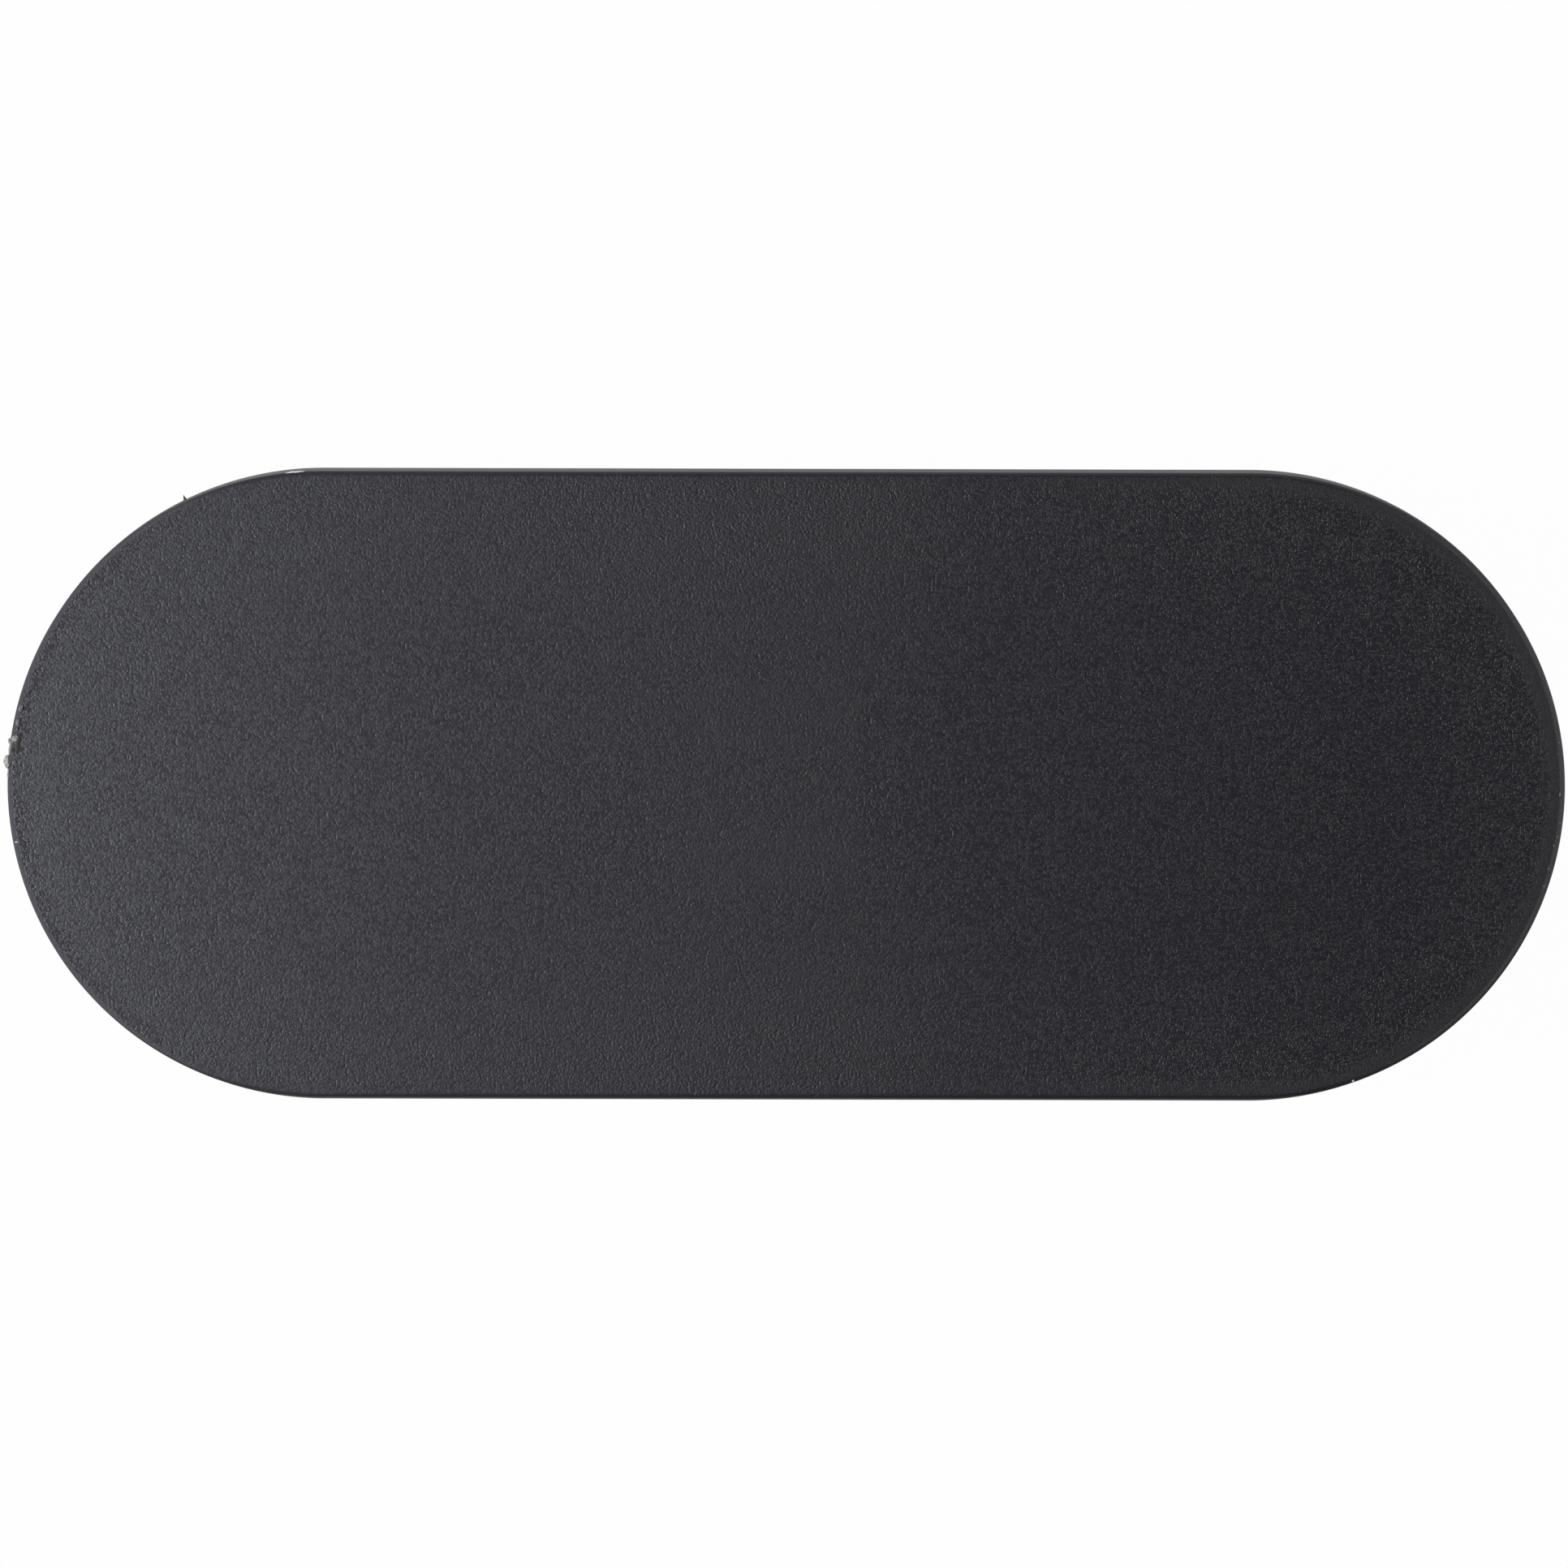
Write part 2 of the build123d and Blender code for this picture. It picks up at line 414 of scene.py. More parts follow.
def fill(bm, edges, facing):
    """Closes a flat region, whose edges may include the rings of holes."""
    bmesh.ops.triangle_fill(bm, use_beauty=True, use_dissolve=False, edges=edges, normal=(0, 0, facing))


def new_object(name, data):
    """An object in the scene that holds a mesh, a lamp or a camera."""
    made = bpy.data.objects.new(name, data)
    bpy.context.scene.collection.objects.link(made)
    return made


def new_mesh(bm, name, material):
    """A mesh of one material, made of what was modelled."""
    mesh = bpy.data.meshes.new(name)
    bm.to_mesh(mesh)
    bm.free()
    mesh.materials.append(material)
    return mesh


def finish_piece(bm, name, material):
    """Turns a closed mesh into an object, smooth except at its corners."""
    bmesh.ops.remove_doubles(bm, verts=bm.verts, dist=WELD_DISTANCE)
    bmesh.ops.recalc_face_normals(bm, faces=bm.faces)
    mesh = new_mesh(bm, name, material)
    mesh.polygons.foreach_set("use_smooth", [True] * len(mesh.polygons))
    mesh.set_sharp_from_angle(angle=SMOOTH_ANGLE)
    return new_object(name, mesh)


# Nodes: one call for each, whose inputs take a value or another node's output


class Graph:
    """A node tree that is written as calls."""

    def __init__(self, tree):
        self.tree = tree

    def join(self, value, socket):
        """Gives an input a value or another node's output."""
        if isinstance(value, NodeSocket):
            self.tree.links.new(value, socket)
        else:
            socket.default_value = value

    def node(self, kind, inputs=None, **settings):
        """Adds a shader node, sets it and joins its inputs."""
        made = self.tree.nodes.new("ShaderNode" + kind)
        for name, value in settings.items():
            setattr(made, name, value)
        for name, value in (inputs or {}).items():
            self.join(value, made.inputs[name])
        return made

    def math(self, operation, first, second=0.0):
        """The result of one sum."""
        return self.node("Math", {0: first, 1: second}, operation=operation).outputs[0]

    def product(self, first, *others):
        """Several numbers multiplied, in their order."""
        for other in others:
            first = self.math("MULTIPLY", first, other)
        return first

    def total(self, first, *others):
        """Several numbers added, in their order."""
        for other in others:
            first = self.math("ADD", first, other)
        return first

    def vector(self, operation, inputs, output="Vector"):
        """The result of one vector sum."""
        return self.node("VectorMath", inputs, operation=operation).outputs[output]

    def divided(self, vector, divisor):
        """A vector divided by a number."""
        return self.vector("SCALE", {0: vector, "Scale": self.math("DIVIDE", 1.0, divisor)})

    def ramp(self, value, low, high, start=0.0, end=1.0):
        """A smooth step from start to end as a value goes from low to high."""
        inputs = {"Value": value, "From Min": low, "From Max": high, "To Min": start, "To Max": end}
        return self.node("MapRange", inputs, interpolation_type="SMOOTHSTEP").outputs["Result"]

    def band(self, value, low, high, soft):
        """1 where a value lies between two others and 0 outside them, with soft ends."""
        rising = self.ramp(value, low - soft, low + soft)
        return self.product(rising, self.ramp(value, high - soft, high + soft, 1.0, 0.0))

    def mix(self, share, first, second):
        """A colour between two others, for which a mix node has the inputs 6 and 7."""
        inputs = {0: share, 6: first, 7: second}
        return self.node("Mix", inputs, data_type="RGBA").outputs[2]

    def place(self):
        """Where a point lies on its piece, in metres."""
        return self.node("TexCoord").outputs["Object"]

    def parts(self, vector):
        """The X, Y and Z of a vector."""
        return self.node("SeparateXYZ", {0: vector}).outputs

    def noise(self, vector, detail):
        """Even noise about a half, of pitch 1."""
        inputs = {"Vector": vector, "Scale": 1.0, "Detail": detail, "Roughness": NOISE_ROUGHNESS}
        return self.node("TexNoise", inputs).outputs["Fac"]

    def bump(self, height, depth, **under):
        """The way that a surface faces where a height of some depth roughens it."""
        inputs = {"Height": height, "Distance": depth, **under}
        return self.node("Bump", inputs).outputs["Normal"]

    def group(self, name, make, **values):
        """A node group's outputs: made at its first use, its inputs' names written with underscores."""
        tree = bpy.data.node_groups.get(name) or make(name)
        inputs = {label.replace("_", " ").capitalize(): value for label, value in values.items()}
        return self.node("Group", inputs, node_tree=tree).outputs


def new_group(name, inputs, outputs):
    """An empty node group with number sockets: its graph, what it is given and what it gives."""
    tree = bpy.data.node_groups.new(name, "ShaderNodeTree")
    for label, default in inputs.items():
        socket = tree.interface.new_socket(label, in_out="INPUT", socket_type="NodeSocketFloat")
        socket.default_value = default
    for label in outputs:
        tree.interface.new_socket(label, in_out="OUTPUT", socket_type="NodeSocketFloat")
    given = tree.nodes.new("NodeGroupInput").outputs
    return Graph(tree), given, tree.nodes.new("NodeGroupOutput").inputs


def grain_group(name):
    """Spark-eroded mould grain: uneven domes of several heights, and broad faint blotches."""
    inputs = {"Pitch": 0.1 * MM, "Blotch pitch": 0.8 * MM}
    inputs |= {"Sharpness": 3.0, "Roughening": 1.0, "Rarity": 2.0}
    graph, given, wanted = new_group(name, inputs, ["Height", "Blotch", "Speck"])
    place = graph.place()
    from_middle = graph.vector("SUBTRACT", {0: place, 1: (sum(FINE_END) / 2, 0.0, 0.0)})
    fine = graph.divided(from_middle, given["Pitch"])
    broad = graph.divided(place, given["Blotch pitch"])
    cells = graph.node("TexVoronoi", {"Vector": fine, "Scale": 1.0}, feature="F1").outputs
    speck = graph.node("SeparateColor", {"Color": cells["Color"]}).outputs["Red"]
    speck = graph.math("POWER", speck, given["Rarity"])
    tall = graph.ramp(speck, 0.0, 1.0, *DOME_DEPTHS)
    domes = graph.product(graph.math("POWER", cells["Distance"], given["Sharpness"]), tall)
    rough = graph.product(graph.noise(fine, detail=1.0), given["Roughening"])
    graph.join(graph.total(domes, rough), wanted["Height"])
    graph.join(speck, wanted["Speck"])
    graph.join(graph.noise(broad, detail=3.0), wanted["Blotch"])
    return graph.tree


def edge_group(name):
    """How far a point lies in from a pill's outline, seen from the front."""
    inputs = {"Half run": 10 * MM, "Radius": 8 * MM}
    graph, given, wanted = new_group(name, inputs, ["Inward"])
    parts = graph.parts(graph.place())
    past = graph.math("SUBTRACT", graph.math("ABSOLUTE", parts["X"]), given["Half run"])
    past = graph.math("MAXIMUM", past, 0.0)
    flat = graph.node("CombineXYZ", {"X": past, "Y": parts["Y"]}).outputs[0]
    out = graph.vector("LENGTH", {0: flat}, "Value")
    graph.join(graph.math("SUBTRACT", given["Radius"], out), wanted["Inward"])
    return graph.tree


def empty_graph(owner):
    """The cleared nodes of a material or a world."""
    owner.use_nodes = True
    owner.node_tree.nodes.clear()
    return Graph(owner.node_tree)


def new_material(name):
    """An empty material, its graph and its shader."""
    material = bpy.data.materials.new(name)
    graph = empty_graph(material)
    shader = graph.node("BsdfPrincipled")
    graph.node("OutputMaterial", {"Surface": shader.outputs["BSDF"]})
    return material, graph, shader


def dress(graph, shader, colour, roughness, normal):
    """Joins a shader's colour, its roughness and the way that its surface faces."""
    for name, value in (("Base Color", colour), ("Roughness", roughness), ("Normal", normal)):
        graph.join(value, shader.inputs[name])


def tinted(colour, factor=1.0):
    """A colour made lighter or darker, with the alpha that a socket wants."""
    return (*[part * factor for part in colour], 1.0)


def shaded(graph, share, colour, shades):
    """A colour that wanders from its darkest to its palest shade."""
    return graph.mix(share, *[tinted(colour, shade) for shade in shades])


def over_hooks(graph, length):
    """1 on the face over the hooks and just before them, 0 past them and at the gate's end."""
    return graph.product(graph.ramp(length, *HOOKS_START), graph.ramp(length, *HOOKS_END, 1.0, 0.0))


def sink_marks(graph, parts):
    """Faint marks in the face: rougher over each hook and up to them, and smoother past them."""
    length = parts["X"]
    across = graph.math("ABSOLUTE", parts["Y"])
    wake = graph.product(
        graph.ramp(length, *WAKE_START_X),
        graph.ramp(length, *WAKE_X, WAKE_CHANGE, 0.0),
        graph.ramp(across, *WAKE_Y, 1.0, 0.0),
    )
    behind = graph.product(graph.band(length, *BEHIND_X), graph.band(parts["Y"], *BEHIND_Y))
    return graph.total(
        graph.product(graph.band(length, *SINK_X), graph.band(across, *SINK_Y)),
        wake,
        graph.product(behind, BEHIND_CHANGE),
        graph.product(over_hooks(graph, length), HOOKS_CHANGE),
        graph.product(graph.ramp(across, *BORDER_Y), graph.ramp(length, *BORDER_X, *BORDER_CHANGES)),
        graph.ramp(length, *FAR_X, 0.0, FAR_CHANGE),
        graph.ramp(length, *NEAR_X, NEAR_CHANGE, 0.0),
    )


def face_roughness(graph, finish, parts, inward, specks):
    """How rough the face is, with its specks, its sink marks and its borders at the two ends."""
    ends = graph.total(
        graph.ramp(parts["X"], *GATE_END, finish.gate_border, 0.0),
        graph.ramp(parts["X"], *COARSE_END, 0.0, finish.far_border),
    )
    ends = graph.product(ends, graph.ramp(inward, 0.0, RIM_GLOSS, 1.0, 0.0))
    sinks = graph.product(graph.total(sink_marks(graph, parts), ends), finish.sink_gloss)
    return graph.total(specks, sinks, finish.cover_roughness)


def grain_share(graph, finish, parts, inward, on_face):
    """How deep the grain is: deepest in the border, over the hooks and at the far end."""
    length = parts["X"]
    deeper = graph.total(
        graph.ramp(length, *GATE_END, 0.0, finish.border_grain - 1.0),
        graph.ramp(length, *FINE_END, 0.0, FINE_BORDER),
    )
    border = graph.product(graph.ramp(inward, 0.0, finish.border_width, 1.0, 0.0), deeper)
    hooks = over_hooks(graph, length)
    upper = graph.ramp(parts["Y"], *UPPER_PART, 0.0, finish.upper_grain - 1.0)
    coarser = graph.total(
        graph.ramp(length, *COARSE_END, 1.0, finish.end_grain),
        graph.product(hooks, finish.middle_grain - 1.0),
        graph.product(hooks, upper),
    )
    fade = graph.ramp(length, *GATE_END, 1.0, finish.fade_grain)
    fading = graph.ramp(inward, 0.0, RIM_FADE, fade, 1.0)
    return graph.product(graph.total(border, 1.0), coarser, on_face, fading)


def cover_material(finish, half_run, radius):
    """Charcoal plastic with spark-eroded grain, and painted light: a paler band on its edge at the far
    end.
    """
    material, graph, shader = new_material("charcoal_grained_plastic")
    parts = graph.parts(graph.place())
    length = parts["X"]
    along = graph.math("ABSOLUTE", length)
    inward = graph.group("Edge distance", edge_group, half_run=half_run, radius=radius)["Inward"]
    grain = graph.group(
        "Mould grain",
        grain_group,
        pitch=graph.ramp(length, *FINE_END, finish.grain_pitch, finish.fine_pitch),
        blotch_pitch=finish.wave_pitch,
        sharpness=finish.grain_sharpness,
        roughening=finish.grain_roughening,
        rarity=finish.speck_rarity,
    )
    rim = graph.ramp(inward, *RIM_EDGE, 1.0, 0.0)
    smoothed = graph.ramp(along, *ROUND_ENDS, 1.0 - finish.rim_grain, 0.0)
    on_face = graph.math("SUBTRACT", 1.0, graph.product(rim, smoothed))

    colour = shaded(graph, grain["Blotch"], finish.cover_colour, COVER_SHADES)
    # Painted light: a paler band on the rim at the far end
    lit_rim_share = graph.product(graph.band(inward, *LIT_RIM_BAND), graph.ramp(length, *ROUND_ENDS))
    colour = graph.mix(lit_rim_share, colour, tinted(finish.painted_rim_light))
    shader.inputs["Specular Tint"].default_value = tinted(finish.cover_sheen)

    specks = graph.product(grain["Speck"], on_face, finish.speck_spread)
    face = face_roughness(graph, finish, parts, inward, specks)
    rim_roughness = graph.ramp(along, *ROUND_ENDS, finish.rim_roughness, finish.end_roughness)
    to_rim = graph.product(graph.math("SUBTRACT", rim_roughness, face), rim)

    waves = graph.bump(grain["Blotch"], finish.wave_depth)
    height = graph.product(grain["Height"], grain_share(graph, finish, parts, inward, on_face))
    domes = graph.bump(height, finish.grain_depth, Normal=waves)
    dress(graph, shader, colour, graph.total(face, to_rim), domes)
    return material


def torn_material(name, finish, pale_colour, dark_colour, shine=TORN_SHINE):
    """Plastic where it was torn or scuffed, also used for painted shadow and painted glints: mottled
    between two colours, and dull.
    """
    material, graph, shader = new_material(name)
    shader.inputs["Specular IOR Level"].default_value = shine
    pitch = finish.grain_pitch
    grain = graph.group("Mould grain", grain_group, pitch=pitch, blotch_pitch=TORN_BLOTCH * pitch)
    pale = graph.ramp(grain["Blotch"], *TORN_PALE)
    colour = graph.mix(pale, tinted(dark_colour), tinted(pale_colour))
    roughness = graph.ramp(grain["Blotch"], *TORN_BLOTCHES, *TORN_ROUGHNESS)
    dress(graph, shader, colour, roughness, graph.bump(grain["Height"], TORN_DEPTH * finish.grain_depth))
    return material


def plain_material(name, finish, colour, shades, roughness, unevenness, pitch, depth):
    """A plain surface with fine grain, whose colour and roughness wander a little."""
    material, graph, shader = new_material(name)
    pitches = {"pitch": pitch * finish.grain_pitch, "blotch_pitch": BROAD_BLOTCH * finish.wave_pitch}
    grain = graph.group("Mould grain", grain_group, **pitches)
    rough = graph.total(graph.product(grain["Blotch"], unevenness), roughness)
    normal = graph.bump(grain["Height"], depth * finish.grain_depth)
    dress(graph, shader, shaded(graph, grain["Blotch"], colour, shades), rough, normal)
    return material


def base_material(finish):
    """Satin plastic as it leaves a plain mould."""
    roughness = finish.base_roughness - BASE_UNEVENNESS / 2
    looks = (finish.base_colour, BASE_SHADES, roughness, BASE_UNEVENNESS, BASE_PITCH, BASE_DEPTH)
    return plain_material("charcoal_satin_plastic", finish, *looks)


def tape_material(finish):
    """Pale foam tape with fine open cells."""
    looks = (finish.tape_colour, TAPE_SHADES, TAPE_ROUGHNESS, TAPE_UNEVENNESS, TAPE_PITCH, TAPE_DEPTH)
    return plain_material("pale_foam_tape", finish, *looks)


# Pieces


def hook(bm, sizes, side, root_level, barb_level, tip_level):
    """Grows one snap hook down from its place in the hollow and gives the ring of its root."""
    inner = side * (sizes.hook_spacing - sizes.hook_thickness) / 2
    outer = side * (sizes.hook_spacing + sizes.hook_thickness) / 2
    barb = outer + side * sizes.barb_reach
    half = sizes.hook_length / 2
    soft = sizes.root_radius
    low, high = sorted((inner - side * soft, outer + side * soft))
    root = box_ring(bm, -half - soft, half + soft, low, high, root_level)
    middle = side * sizes.hook_spacing / 2

    def profile(outer_place, level, spread=0.0):
        def move(point):
            is_outer = side * (point.y - middle) > 0
            across = outer_place + side * spread if is_outer else inner - side * spread
            return Vector((math.copysign(half + spread, point.x), across, level))

        return move

    edges = root
    for step in range(1, ROUND_STEPS + 1):
        turn = QUARTER * step / ROUND_STEPS
        drop = soft * (1 - math.cos(turn))
        edges = next_ring(bm, edges, profile(outer, root_level - drop, soft * (1 - math.sin(turn))))
    barb_low = barb_level - sizes.barb_height
    for step in [(outer, barb_level), (barb, barb_level), (barb, barb_low), (outer, tip_level)]:
        edges = next_ring(bm, edges, profile(*step))
    fill(bm, edges, -1)
    return root


def cover_mesh(sizes, base):
    """The cover: a drafted pill with a rounded front edge, hollow behind inside its glide rim."""
    bm = bmesh.new()
    half_run, radius = pill_size(COVER_LOW, COVER_HIGH)
    front = COVER_HIGH.z
    back = front - sizes.thickness
    ceiling = back + sizes.hollow_depth
    hollow = radius - sizes.rim_width
    inner = sizes.hollow_radius
    soft = sizes.back_radius

    # From the hollow's ceiling out over the glide rim and up the drafted edge
    ring = pill_ring(bm, half_run, hollow - 2 * inner, ceiling)
    section = corner(hollow - inner, ceiling - inner, inner, QUARTER, 0)
    section += corner(hollow + soft, back + soft, soft, 2 * QUARTER, 3 * QUARTER)
    edge_top = front - sizes.roll_drop
    edge, face_radius = drafted_edge(radius, back, edge_top, sizes.draft, sizes.edge_radius, soft)
    outer_edges = grow_rings(bm, ring, half_run, section + edge)

    # Across the face, which rises from its rolled border to a flat middle
    face = []
    for step in range(1, ROLL_STEPS + 1):
        share = step / ROLL_STEPS
        rise = share * share * (3 - 2 * share)
        face.append((face_radius - sizes.roll_width * share, edge_top + sizes.roll_drop * rise))
    for share in FACE_SHARES:
        face.append(((face_radius - sizes.roll_width) * share, front))
    middle = grow_rings(bm, outer_edges, half_run, face)
    fill(bm, middle, 1)

    # The two hooks, which the hollow's ceiling is closed round
    barb_level = BASE_HIGH.z - base.lip_thickness - base.hook_clearance
    roots = [hook(bm, sizes, side, ceiling, barb_level, COVER_LOW.z) for side in (1, -1)]
    fill(bm, [*ring, *roots[0], *roots[1]], -1)
    return bm, half_run, face_radius


def slot_sizes(cover, base):
    """The slot's lowest and highest X, half its width and half the width of the recess behind it."""
    spare = cover.hook_length / 2 + base.hook_clearance
    outer = (cover.hook_spacing + cover.hook_thickness) / 2
    recess = outer + cover.barb_reach + base.barb_clearance
    return -spare, TRAVEL + spare, outer + base.hook_clearance, recess


def base_mesh(cover, base):
    """The base: a drafted pill with the bevelled lens window and the stepped slot."""
    bm = bmesh.new()
    half_run, radius = pill_size(BASE_LOW, BASE_HIGH)
    back, front = BASE_LOW.z, BASE_HIGH.z
    soft = cover.back_radius

    outline = pill_ring(bm, half_run, radius - 2 * soft, back)
    section, face_radius = drafted_edge(radius, back, front, base.draft, base.edge_radius, soft)
    section.append((face_radius - base.edge_radius, front))
    outline_front = grow_rings(bm, outline, half_run, section)

    window = base.window_diameter / 2
    window_back = circle_ring(bm, WINDOW_X, window + 2 * soft, back)
    wall = corner(window + soft, back + soft, soft, 3 * QUARTER, 2 * QUARTER)
    wall.append((window, front - base.window_bevel))
    wall.append((window + base.window_bevel, front))
    window_front = grow_rings(bm, window_back, 0, wall, WINDOW_X)

    low_x, high_x, slot, recess = slot_sizes(cover, base)
    lip_back = front - base.lip_thickness

    def across(half_width, level, grow=0.0):
        def move(point):
            end = high_x + grow if point.x > TRAVEL / 2 else low_x - grow
            return Vector((end, math.copysign(half_width + grow, point.y), level))

        return move

    ease = base.slot_softness
    steps = [(recess, lip_back), (slot, lip_back), (slot, front - ease), (slot, front, ease)]
    slot_back = slot_front = box_ring(bm, low_x, high_x, -recess, recess, back)
    for step in steps:
        slot_front = next_ring(bm, slot_front, across(*step))

    fill(bm, [*outline, *window_back, *slot_back], -1)
    fill(bm, [*outline_front, *window_front, *slot_front], 1)
    return bm


def pad_mesh(cover, base, pad):
    """The tape: a die-cut foam pill, open round the window and the slot."""
    bm = bmesh.new()
    half_run, radius = pill_size(PAD_LOW, PAD_HIGH)
    low, high = PAD_LOW.z, PAD_HIGH.z
    shares = [step / BULGE_STEPS for step in range(1, BULGE_STEPS + 1)]
    steps = [(pad.bulge * math.sin(math.pi * share), low + (high - low) * share) for share in shares]

    waist = radius - pad.bulge
    outline = pill_ring(bm, half_run, waist, low)
    outline_top = grow_rings(bm, outline, half_run, [(waist + out, level) for out, level in steps])
    window = base.window_diameter / 2 + pad.opening_margin + pad.bulge
    window_low = circle_ring(bm, WINDOW_X, window, low)
    window_top = grow_rings(bm, window_low, 0, [(window - out, level) for out, level in steps], WINDOW_X)
    low_x, high_x, _, recess = slot_sizes(cover, base)
    margin = pad.opening_margin
    wide = recess + margin
    slot_low = slot_top = box_ring(bm, low_x - margin, high_x + margin, -wide, wide, low)
    for _, level in steps:
        slot_top = next_ring(bm, slot_top, lambda point, level=level: Vector((*point.xy, level)))
    fill(bm, [*outline, *window_low, *slot_low], -1)
    fill(bm, [*outline_top, *window_top, *slot_top], 1)
    return bm


class Mark(NamedTuple):
    """A lump on the cover's edge, in millimetres: its place, half sizes and middle's level. Torn plastic,
    burrs, painted shadow and painted glints all use it.
    """

    x: float
    y: float
    across: float
    along: float
    high: float
    level: float


# What the gate left when it tore off the end of the cover
GATE_MARKS = [
    Mark(-20.817, 0.604, 0.105, 0.18, 0.1, 2.83),
    Mark(-20.8, 0.27, 0.042, 0.14, 0.045, 2.855),
    Mark(-20.755, 0.955, 0.042, 0.17, 0.045, 2.85),
    Mark(-20.736, 1.15, 0.085, 0.085, 0.09, 2.82),
    Mark(-20.617, 1.217, 0.085, 0.09, 0.045, 2.875),
]

# Lumps that the torn plastic left on the rim
RIM_MARKS = [
    Mark(-20.455, 2.03, 0.055, 0.1, 0.035, 2.895),
    Mark(-20.54, 1.64, 0.055, 0.11, 0.035, 2.895),
    Mark(-20.56, 1.45, 0.035, 0.04, 0.025, 2.895),
]

# Painted shadow beside the torn plastic: dark lumps where the torn lumps' shade falls
PAINTED_SHADOW_MARKS = [
    Mark(-20.52, 1.12, 0.05, 0.27, 0.012, 2.893),
    Mark(-20.65, 0.945, 0.06, 0.15, 0.03, 2.865),
]

# A nick in the long edge, a tick at the gate's end and a burr at the other
BURR_MARKS = [
    Mark(-13.13, 8.345, 0.03, 0.27, 0.03, 2.81),
    Mark(-20.585, -1.555, 0.045, 0.016, 0.012, 2.89),
    Mark(15.205, -7.87, 0.03, 0.03, 0.015, 2.87),
]

# Pale specks on the rim: the two beside the gate are painted glints, and the rest lie round the far end
SPECK_MARKS = [
    # Painted glints beside the gate
    Mark(-20.67, 0.575, 0.02, 0.035, 0.01, 2.89),
    Mark(-20.655, 0.315, 0.018, 0.03, 0.01, 2.89),
    Mark(20.66, 1.205, 0.035, 0.015, 0.012, 2.89),
    Mark(20.64, 0.9, 0.02, 0.02, 0.01, 2.895),
    Mark(20.695, -0.19, 0.025, 0.045, 0.01, 2.895),
    Mark(20.7, -0.615, 0.02, 0.02, 0.01, 2.89),
    Mark(20.7, -0.95, 0.02, 0.02, 0.01, 2.885),
    Mark(20.635, -1.32, 0.02, 0.025, 0.01, 2.885),
    Mark(20.54, -1.55, 0.02, 0.025, 0.01, 2.895),
    Mark(20.405, -2.175, 0.025, 0.03, 0.01, 2.895),
    Mark(20.285, -2.645, 0.025, 0.03, 0.01, 2.89),
]

# A thin tongue of plastic that ran out between the mould's halves
FLASH_MARK = Mark(-16.22, 7.65, 0.1, 0.075, 0.035, 1.79)


def mark_matrix(mark, half_run):
    """Takes a shape of radius 1 to a mark's sizes and place, square to the cover's outline."""
    x, y = mark.x * MM, mark.y * MM
    spine = max(-half_run, min(half_run, x))
    turn = Matrix.Rotation(math.atan2(y, x - spine), 4, "Z")
    size = Matrix.Diagonal((mark.across * MM, mark.along * MM, mark.high * MM, 1))
    return Matrix.Translation((x, y, mark.level * MM)) @ turn @ size


def marks_mesh(marks, half_run):
    """One mesh of several rough lumps, sunk into the cover's edge, for torn plastic, burrs, painted shadow
    and painted glints.
    """
    bm = bmesh.new()
    share, frequency = LUMP_NOISE
    for mark in marks:
        made = bmesh.ops.create_icosphere(bm, subdivisions=LUMP_DETAIL, radius=1.0)["verts"]
        shift = Vector((mark.x, mark.y, mark.level)) * LUMP_SHIFT
        for vert in made:
            vert.co *= 1 + share * noise.fractal(vert.co * frequency + shift, *LUMP_FRACTAL)
        bmesh.ops.transform(bm, matrix=mark_matrix(mark, half_run), verts=made)
    return bm


def uneven(place, share, frequency):
    """Smooth noise at a place."""
    return share * noise.noise(place * frequency)


def flash_mesh(mark, half_run):
    """A pointed tongue, wide and thick at its foot, with one side almost straight."""
    bm = bmesh.new()
    lying = Matrix.Rotation(QUARTER, 4, "Y")
    bmesh.ops.create_cone(
        bm, cap_ends=True, segments=FLASH_SIDES, radius1=1.0, radius2=FLASH_TIP, depth=2.0, matrix=lying
    )
    sides = [edge for edge in bm.edges if abs(edge.verts[0].co.x - edge.verts[1].co.x) > 1]
    bmesh.ops.subdivide_edges(bm, edges=sides, cuts=FLASH_CUTS)
    for vert in bm.verts:
        reach = (vert.co.x + 1) / 2
        vert.co.y -= FLASH_LEAN * reach + uneven(vert.co, *FLASH_SIDE_NOISE)
        vert.co.z *= 1 + uneven(vert.co, *FLASH_TOP_NOISE)
    bmesh.ops.transform(bm, matrix=mark_matrix(mark, half_run), verts=bm.verts)
    return bm


class WEBCAMCOVER_OT_sliding_cover(Operator):
    """Build the grained cover with its glide rim and snap hooks"""

    bl_idname = "webcam_cover.sliding_cover"
    bl_label = "Sliding Cover"

    def execute(self, context):
        scene = context.scene
        bm, half_run, face_radius = cover_mesh(scene.cover_sizes, scene.base_sizes)
        material = cover_material(scene.cover_finish, half_run, face_radius)
        piece = finish_piece(bm, "cover_moulding", material)
        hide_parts("sliding_cover")
        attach(piece, "cover")
        return {"FINISHED"}


